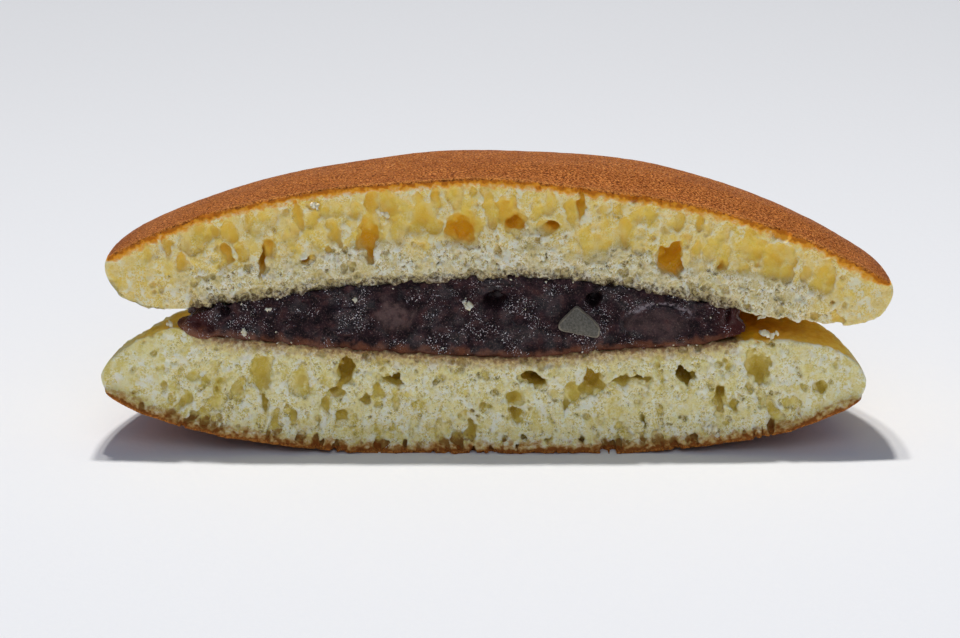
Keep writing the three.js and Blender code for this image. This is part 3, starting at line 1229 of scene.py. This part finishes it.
def millimetres(tree, stretch=(1, 1, 1)):
    spot = add(tree, "TexCoord").outputs["Object"]
    return add(tree, "Mapping", Vector=spot, Scale=[1000 * share for share in stretch]).outputs["Vector"]


def cloud(tree, spot, size, detail=2.0, roughness=0.5):
    """Noise from 0 to 1 whose lumps are about size millimetres across."""
    noise = add(tree, "TexNoise", Vector=spot, Scale=1 / size, Detail=detail, Roughness=roughness)
    return noise.outputs["Fac"]


def ramp(tree, value, stops):
    made = add(tree, "ValToRGB", Fac=value)
    while len(made.color_ramp.elements) < len(stops):
        made.color_ramp.elements.new(0.5)
    for element, (place, colour) in zip(made.color_ramp.elements, stops):
        element.position = place
        element.color = (*colour, 1)
    return made.outputs["Color"]


def new_material(name):
    material = bpy.data.materials.new(name)
    material.use_nodes = True
    tree = material.node_tree
    return material, tree, tree.nodes["Principled BSDF"]


def bump(tree, height, distance, strength):
    """Relief too fine for the mesh: the height of its lumps is given in millimetres."""
    return add(tree, "Bump", Height=height, Distance=distance * MM, Strength=strength).outputs["Normal"]


def darker(colour, share):
    return [share * value for value in colour]


print("node helpers ready")

# %% [markdown]
# ## Sponge
# One material serves each cake from skin to crumb. The crumb is pale where it stands out, a painted
# highlight,
# and golden down in the hollows: a painted glow of light that has passed through more sponge, and painted
# shade.
# The browned skin fades through an amber line into the crumb, and its own pattern is a fine speckle. Some
# light goes under the surface.
# The colour of the torn crumb is a node group, because both cakes use the same pattern with other colours.

# %% The crumb group
def new_group(name, inputs, outputs):
    group = bpy.data.node_groups.new(name, "ShaderNodeTree")
    for label, kind, value in inputs:
        socket = group.interface.new_socket(label, in_out="INPUT", socket_type=kind)
        socket.default_value = value
    for label, kind in outputs:
        group.interface.new_socket(label, in_out="OUTPUT", socket_type=kind)
    return group, group.nodes.new("NodeGroupInput").outputs, group.nodes.new("NodeGroupOutput").inputs


def crumb_group():
    """Colour of torn crumb from how deep it lies behind the knife and how far it stands out."""
    colours = ("Pale", "Golden", "Deep", "Pore", "Bright")
    shades = [(name, "NodeSocketColor", (1, 1, 1, 1)) for name in colours]
    numbers = [(name, "NodeSocketFloat", 0.0) for name in ("Hollow", "Proud", "Foam")]
    results = [("Color", "NodeSocketColor"), ("Grain", "NodeSocketFloat")]
    group, given, result = new_group("crumb", shades + numbers, results)
    spot = millimetres(group)
    patches = cloud(group, millimetres(group, (1, 1, 0.4)), 1.25, 1.0)
    grain = cloud(group, spot, 0.22, 3.0, 0.75)
    fleck = cloud(group, spot, 0.5, 2.0, 0.6)
    flakes = cloud(group, spot, 0.85, 3.0, 0.65)
    clumps = fade(group, cloud(group, spot, 1.5, 1.0), 0.36, 0.6, 0.3, 1.0)

    # Golden and deep with depth in the hollows: a painted glow of light through more sponge, and painted
    # shade.
    depth = plus(group, given["Hollow"], fade(group, patches, 0.34, 0.66, -0.5, 0.8))
    colour = mix(group, fade(group, depth, 0.0, 1.4), given["Pale"], given["Golden"])
    colour = mix(group, fade(group, given["Hollow"], 0.8, 2.3), colour, given["Deep"])

    # Torn crumb is rough near the knife's plane, and most of all in the foam.
    rough = fade(group, given["Hollow"], 1.3, 0.3, 0.12, 1.0)
    rough = times(group, rough, fade(group, given["Foam"], 0, 1, 0.75, 1.0))
    rough = times(group, rough, clumps)
    # Pits take the pore colour as painted shade; the dark grain below is the crumb's own tone.
    pores = times(group, rough, fade(group, given["Proud"], -0.02, -0.09, 0, 0.9))
    colour = mix(group, pores, colour, given["Pore"])
    dark = times(group, rough, fade(group, grain, 0.46, 0.38, 0.0, 0.55))
    colour = mix(group, dark, colour, given["Pore"])
    light = times(group, rough, fade(group, grain, 0.51, 0.57, 0.0, 1.0))
    colour = mix(group, light, colour, given["Bright"])

    # Painted highlight on what stands out: the walls between bubbles. The flakes that the knife tore up are
    # lighter, partly their own pale crumb and partly painted highlight.
    ridge = fade(group, given["Proud"], 0.03, 0.13, 0, 0.7)
    ridge = times(group, ridge, fade(group, fleck, 0.42, 0.56, 0.15, 1.0))
    colour = mix(group, ridge, colour, given["Bright"])
    flake = times(group, fade(group, flakes, 0.51, 0.59, 0, 0.85), clumps)
    flake = times(group, flake, fade(group, given["Hollow"], 0.9, 0.3))
    colour = mix(group, flake, colour, given["Bright"])
    group.links.new(colour, result["Color"])
    group.links.new(grain, result["Grain"])
    return group


CRUMB = crumb_group()
print("the crumb group has", len(CRUMB.nodes), "nodes")

# %% The colours of the two cakes
# Crumb from the knife's plane inwards: pale, golden, deep; golden and deep are a painted glow of light
# through the sponge and painted shade down in the hollows. In foam the first two are foam and foam_gold.
# pore and bright are its pits and its ridges, painted shade and painted highlight, and also its dark and
# light grain; foam_pore and foam_bright the same in foam.
# Crust from outside in: skin, toast, amber, and slot in the bubbles that open under it, darker in the lower
# cake as painted shade. Each has its depth.
# Next to the paste: soaked, stain where it touches, and seep in specks. A share is how strong a colour gets.
UPPER_LOOK = SimpleNamespace(
    pale=(1.0, 0.76, 0.27), golden=(1.0, 0.71, 0.13), deep=(0.95, 0.50, 0.02),
    foam=(0.84, 0.69, 0.32), foam_gold=(0.82, 0.66, 0.24),
    pore=(0.36, 0.26, 0.09), bright=(1.0, 0.92, 0.66),
    foam_pore=(0.24, 0.165, 0.065), foam_bright=(1.0, 0.97, 0.80),
    skin=(0.27, 0.062, 0.0055), toast=(0.60, 0.19, 0.016), amber=(0.90, 0.38, 0.03), slot=(0.90, 0.43, 0.04),
    skin_depth=0.3, toast_depth=0.65, amber_depth=1.4, slot_depth=0.8,
    soaked=(0.46, 0.36, 0.21), stain=(0.08, 0.05, 0.04), seep=(0.13, 0.08, 0.04),
    soak_share=0.55, seep_share=1.0,
)
LOWER_LOOK = SimpleNamespace(
    pale=(0.95, 0.82, 0.36), golden=(0.80, 0.64, 0.14), deep=(0.60, 0.39, 0.04),
    foam=(0.95, 0.82, 0.36), foam_gold=(0.80, 0.64, 0.14),
    pore=(0.44, 0.35, 0.11), bright=(1.0, 0.97, 0.78),
    foam_pore=(0.40, 0.31, 0.10), foam_bright=(1.0, 0.97, 0.78),
    skin=(0.34, 0.095, 0.014), toast=(0.30, 0.092, 0.018), amber=(0.62, 0.34, 0.10), slot=(0.40, 0.21, 0.055),
    skin_depth=0.45, toast_depth=0.85, amber_depth=1.4, slot_depth=1.6,
    soaked=(0.62, 0.43, 0.18), stain=(0.22, 0.08, 0.035), seep=(0.40, 0.22, 0.09),
    soak_share=0.75, seep_share=0.5,
)
# The bare faces round the paste. INNER_SKIN and INNER_RIM are brightened as a painted glow of light through
# the cake, and PALE_SKIN is partly painted light where the upper cake shades the face.
INNER_SKIN = (1.0, 0.52, 0.02)
INNER_RIM = (1.0, 0.72, 0.13)
PALE_SKIN = (1.0, 0.86, 0.42)
RIM_SKIN = (1.0, 0.80, 0.34)
SPECKLE = (0.70, 0.26, 0.062)
# Lighter skin along the cut: partly skin the knife raised, partly a painted highlight.
LIFTED_SKIN_AND_SHEEN = (0.58, 0.24, 0.05)
CRUMB_ROUGHNESS = (0.7, 0.7, 0.7)
print("values for each cake's look:", len(vars(UPPER_LOOK)))

# %% The sponge material
def crumb_of(tree, look, hollow):
    """The crumb group with a cake's colours, which change where smooth tall bubbles give way to foam."""
    foam = column(tree, "foam")
    return add(
        tree, "Group", {"node_tree": CRUMB}, Hollow=hollow, Proud=column(tree, "proud"), Foam=foam,
        Pale=mix(tree, foam, look.pale, look.foam),
        Golden=mix(tree, foam, look.golden, look.foam_gold),
        Deep=look.deep,
        Pore=mix(tree, foam, look.pore, look.foam_pore),
        Bright=mix(tree, foam, look.bright, look.foam_bright),
    ).outputs


def add_syrup(tree, spot, look, colour, blur):
    """Next to the paste the crumb is soaked, and stained where it touches."""
    soak = plus(tree, column(tree, "soak"), blur)
    colour = mix(tree, fade(tree, soak, 0.3, 0.95, 0, look.soak_share), colour, look.soaked)
    colour = mix(tree, fade(tree, soak, 0.8, 1.04, 0, 0.8), colour, look.stain)
    specks = fade(tree, cloud(tree, spot, 0.34, 2.0, 0.6), 0.52, 0.44, 0.0, 0.85)
    seeps = times(tree, specks, fade(tree, soak, 0.5, 0.85, 0.0, look.seep_share))
    return mix(tree, seeps, colour, look.seep)


def add_inner_skin(tree, spot, colour):
    """The bare faces round the paste: mottled orange skin that turns pale towards the rim, partly painted
    light.
    """
    inner = mix(tree, fade(tree, column(tree, "rim"), 0.68, 0.86), INNER_SKIN, INNER_RIM)
    mottle = fade(tree, cloud(tree, spot, 1.0, 4.0, 0.6), 0.38, 0.62, 0, 0.4)
    inner = mix(tree, mottle, inner, darker(INNER_SKIN, 0.8))
    colour = mix(tree, column(tree, "inner_skin"), colour, inner)
    return mix(tree, column(tree, "pale_skin"), colour, PALE_SKIN)


def add_crust(tree, look, colour, depth, wander, hollow, skin):
    """From the crumb outwards: the amber line, bubbles that open under the crust, toast and skin."""
    # Bubbles that open under the crust take the slot colour, which in the lower cake is painted shade.
    slots = fade(tree, hollow, 0.15, 0.6)
    slots = times(tree, slots, fade(tree, wander, look.slot_depth, 0.6 * look.slot_depth))
    colour = mix(tree, fade(tree, wander, look.amber_depth, 0.4 * look.amber_depth), colour, look.amber)
    colour = mix(tree, slots, colour, look.slot)
    colour = mix(tree, fade(tree, wander, look.toast_depth, 0.4 * look.toast_depth), colour, look.toast)
    return mix(tree, fade(tree, depth, look.skin_depth, 0.3 * look.skin_depth), colour, skin)


def skin_colour(tree, spot, look, speckle, behind):
    """Browned skin: a fine speckle on slow blotches, lighter by the cut as raised skin and painted sheen."""
    blotch = cloud(tree, spot, 4.0, 3.0)
    stops = [(0.4, darker(look.skin, 0.25)), (0.49, look.skin), (0.585, SPECKLE)]
    colour = ramp(tree, speckle, stops)
    colour = mix(tree, fade(tree, blotch, 0.35, 0.7, 0, 0.3), colour, darker(look.skin, 0.66))
    at_rim = fade(tree, column(tree, "rim"), 0.9, 0.99, 0, 0.35)
    colour = mix(tree, at_rim, colour, darker(look.skin, 0.7))
    # Lighter along the cut: partly skin the knife raised, partly a painted highlight.
    lifted_and_sheen = times(tree, fade(tree, behind, 1.2, 0.1, 0, 0.6), fade(tree, speckle, 0.4, 0.6, 0.1, 1.0))
    return mix(tree, lifted_and_sheen, colour, LIFTED_SKIN_AND_SHEEN)


def sponge_material(name, look):
    material, tree, shader = new_material(name)
    spot = millimetres(tree)
    bake, behind, hollow = (column(tree, label) for label in ("bake", "behind", "hollow"))
    blur = fade(tree, cloud(tree, spot, 0.5, 2.0), 0.25, 0.75, -0.14, 0.14)
    speckle = cloud(tree, spot, 0.26, 3.0, 0.8)
    depth = plus(tree, bake, blur)
    wander = plus(tree, depth, fade(tree, cloud(tree, spot, 0.9, 2.0), 0.3, 0.7, -0.3, 0.3))

    crumb = crumb_of(tree, look, hollow)
    outside = minus(tree, behind, hollow)
    colour = mix(tree, fade(tree, outside, 0.3, 1.5), crumb["Color"], RIM_SKIN)
    colour = add_syrup(tree, spot, look, colour, blur)
    colour = add_inner_skin(tree, spot, colour)
    skin = skin_colour(tree, spot, look, speckle, behind)
    colour = add_crust(tree, look, colour, depth, wander, hollow, skin)

    skin_mask = fade(tree, bake, 0.35, 0.1)
    gloss = fade(tree, speckle, 0.3, 0.7, 0.6, 0.42)
    leather = add(tree, "TexVoronoi", {"feature": "F1"}, Vector=spot, Scale=1.9).outputs["Distance"]
    height = mix(tree, skin_mask, crumb["Grain"], mix(tree, 0.35, speckle, leather))
    plug_all(
        tree, shader, Base_Color=colour, Roughness=mix(tree, skin_mask, CRUMB_ROUGHNESS, gloss),
        Normal=bump(tree, height, 0.16, 0.9), Specular_IOR_Level=0.06, Subsurface_Weight=0.2,
        Subsurface_Radius=(1.0, 0.62, 0.25), Subsurface_Scale=0.9 * MM,
    )
    print(name, "has", len(tree.nodes), "nodes")
    return material


upper.material = sponge_material("upper_sponge", UPPER_LOOK)
lower.material = sponge_material("lower_sponge", LOWER_LOOK)

# %% [markdown]
# ## Paste, split bean and crumbs
# The mash is nearly black with a purple cast and wet enough to glint. Opened beans show matt flesh inside a
# thin skin, and a light line along the top of the opened bean is a painted highlight. The syrup that has run
# into the lower cake is redder. Pale specks gathered in patches are partly sugar and partly painted glints. A
# coat gives the wet glints, because under it the mash can stay dull.

# %% Paste material
MASH_DARK = (0.010, 0.004, 0.006)
MASH_LIGHT = (0.046, 0.019, 0.024)
MASH_FLECK = (0.14, 0.085, 0.075)
BEAN_FLESH = (0.21, 0.128, 0.115)
BEAN_RIM_HIGHLIGHT = (0.50, 0.40, 0.40)
THIN_END = (0.085, 0.016, 0.012)
SYRUP = (0.24, 0.085, 0.04)
SUGAR_AND_GLINT = (0.88, 0.80, 0.80)


def paste_material():
    material, tree, shader = new_material("sweet_bean_paste")
    spot = millimetres(tree)
    flesh = column(tree, "flesh")
    lumps = cloud(tree, spot, 1.2, 3.0)
    fine = cloud(tree, spot, 0.22, 3.0, 0.65)
    colour = mix(tree, fade(tree, lumps, 0.35, 0.7), MASH_DARK, MASH_LIGHT)
    colour = mix(tree, fade(tree, fine, 0.53, 0.66, 0, 0.7), colour, MASH_FLECK)
    opened = times(tree, flesh, fade(tree, cloud(tree, spot, 0.7, 3.0), 0.3, 0.6, 0.3, 1))
    colour = mix(tree, opened, colour, BEAN_FLESH)
    colour = mix(tree, fade(tree, column(tree, "end"), 0, 1, 0, 0.75), colour, THIN_END)
    syrup = plus(tree, column(tree, "syrup"), fade(tree, lumps, 0.3, 0.7, -0.3, 0.3))
    colour = mix(tree, fade(tree, syrup, 0.1, 1.0, 0, 0.9), colour, SYRUP)
    # Pale specks in patches: partly grains of sugar, partly painted glints.
    gathered = fade(tree, cloud(tree, spot, 2.0, 3.0), 0.42, 0.62, -0.1, 0.03)
    sugar_and_glints = fade(tree, plus(tree, cloud(tree, spot, 0.15, 1.0, 0.6), gathered), 0.665, 0.7)
    colour = mix(tree, times(tree, sugar_and_glints, fade(tree, flesh, 0, 0.2, 1, 0)), colour, SUGAR_AND_GLINT)
    # A painted highlight along the top of the opened bean.
    rim_highlight = times(tree, column(tree, "rim_highlight"), fade(tree, cloud(tree, spot, 0.4, 3.0), 0.4, 0.58, 0.1, 1.0))
    colour = mix(tree, rim_highlight, colour, BEAN_RIM_HIGHLIGHT)
    glints = fade(tree, cloud(tree, spot, 2.5, 2.0), 0.45, 0.62, 0.0, 0.4)
    plug_all(
        tree, shader, Base_Color=colour, Roughness=fade(tree, fine, 0.3, 0.7, 0.35, 0.6),
        Coat_Weight=minus(tree, glints, fade(tree, flesh, 0, 0.5, 0, 0.7)), Coat_Roughness=0.12,
        Normal=bump(tree, fine, 0.3, 1.0), Specular_IOR_Level=0.13, Subsurface_Weight=0.1,
        Subsurface_Radius=(1.0, 0.3, 0.2), Subsurface_Scale=0.6 * MM,
    )
    return material


paste.material = paste_material()
print("paste material:", paste.material.name)

# %% Bean, crumb and floor materials
BEAN_DARK = (0.075, 0.067, 0.05)
BEAN_LIGHT = (0.17, 0.155, 0.125)
BEAN_EDGE = (0.34, 0.29, 0.21)
CRUMB_DARK = (0.88, 0.74, 0.42)
CRUMB_LIGHT = (1, 0.95, 0.76)
FLOOR_NEAR = (0.815, 0.815, 0.825)
FLOOR_FAR = (0.715, 0.715, 0.722)


def split_bean_material():
    material, tree, shader = new_material("split_bean_flesh")
    fine = cloud(tree, millimetres(tree), 0.25, 3.0, 0.7)
    colour = mix(tree, fade(tree, fine, 0.3, 0.7), BEAN_DARK, BEAN_LIGHT)
    colour = mix(tree, fade(tree, column(tree, "edge"), 0.1, 0.9, 0, 0.75), colour, BEAN_EDGE)
    plug_all(
        tree, shader, Base_Color=colour, Roughness=0.55, Normal=bump(tree, fine, 0.05, 0.7),
        Specular_IOR_Level=0.3,
    )
    return material


def crumb_material():
    material, tree, shader = new_material("loose_crumb")
    fine = cloud(tree, millimetres(tree), 0.3, 3.0)
    colour = mix(tree, fade(tree, fine, 0.3, 0.7), CRUMB_DARK, CRUMB_LIGHT)
    plug_all(
        tree, shader, Base_Color=colour, Roughness=0.6, Normal=bump(tree, fine, 0.06, 0.6),
        Subsurface_Weight=0.4, Subsurface_Radius=(1.0, 0.8, 0.5), Subsurface_Scale=0.5 * MM,
    )
    return material


def floor_material():
    """A pale sheet, a little darker far behind the food, where less light reaches it."""
    material, tree, shader = new_material("pale_floor")
    spot = millimetres(tree)
    far = fade(tree, add(tree, "SeparateXYZ", Vector=spot).outputs["Y"], -60, 230)
    plug_all(
        tree, shader, Base_Color=mix(tree, far, FLOOR_NEAR, FLOOR_FAR), Roughness=0.8,
        Normal=bump(tree, cloud(tree, spot, 1.1, 3.0), 0.12, 0.5),
    )
    return material


bean_look, crumb_look, floor_look = split_bean_material(), crumb_material(), floor_material()
print("other materials:", [look.name for look in (bean_look, crumb_look, floor_look)])

# %% [markdown]
# ## Finished pieces
# Each piece is scaled to metres and stays at the origin, where the packed model has it. The two cakes and the
# filling take the place of their plain solids. The bean and the crumbs are extra.

# %% Finish the pieces
def finish_piece(thing, name, material, replaced=None):
    thing.name = name
    thing.data.name = name
    thing.data.transform(Matrix.Scale(MM, 4))
    thing.data.shade_smooth()
    thing.data.materials.clear()
    thing.data.materials.append(material)
    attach(thing, "root")
    if replaced:
        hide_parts(replaced)


finish_piece(sponges["upper_cake"], "upper_pancake", upper.material, "upper_cake")
finish_piece(sponges["lower_cake"], "lower_pancake", lower.material, "lower_cake")
finish_piece(filling, "bean_filling", paste.material, "bean_paste")
finish_piece(wedge, "split_bean", bean_look)
finish_piece(crumbs, "loose_crumbs", crumb_look)
print("pieces:", [piece.name for piece in (*sponges.values(), filling, wedge, crumbs)])

# %% [markdown]
# ## Floor
# The food lies on a wide pale sheet, which only belongs to the picture.

# %% Floor
FLOOR_HALF_WIDTH = 1.5
bm = bmesh.new()
bmesh.ops.create_grid(bm, x_segments=4, y_segments=4, size=FLOOR_HALF_WIDTH)
floor = new_object("floor", mesh_from(bm, "floor"))
floor.data.materials.append(floor_look)
print("floor:", 2 * FLOOR_HALF_WIDTH, "m wide")

# %% [markdown]
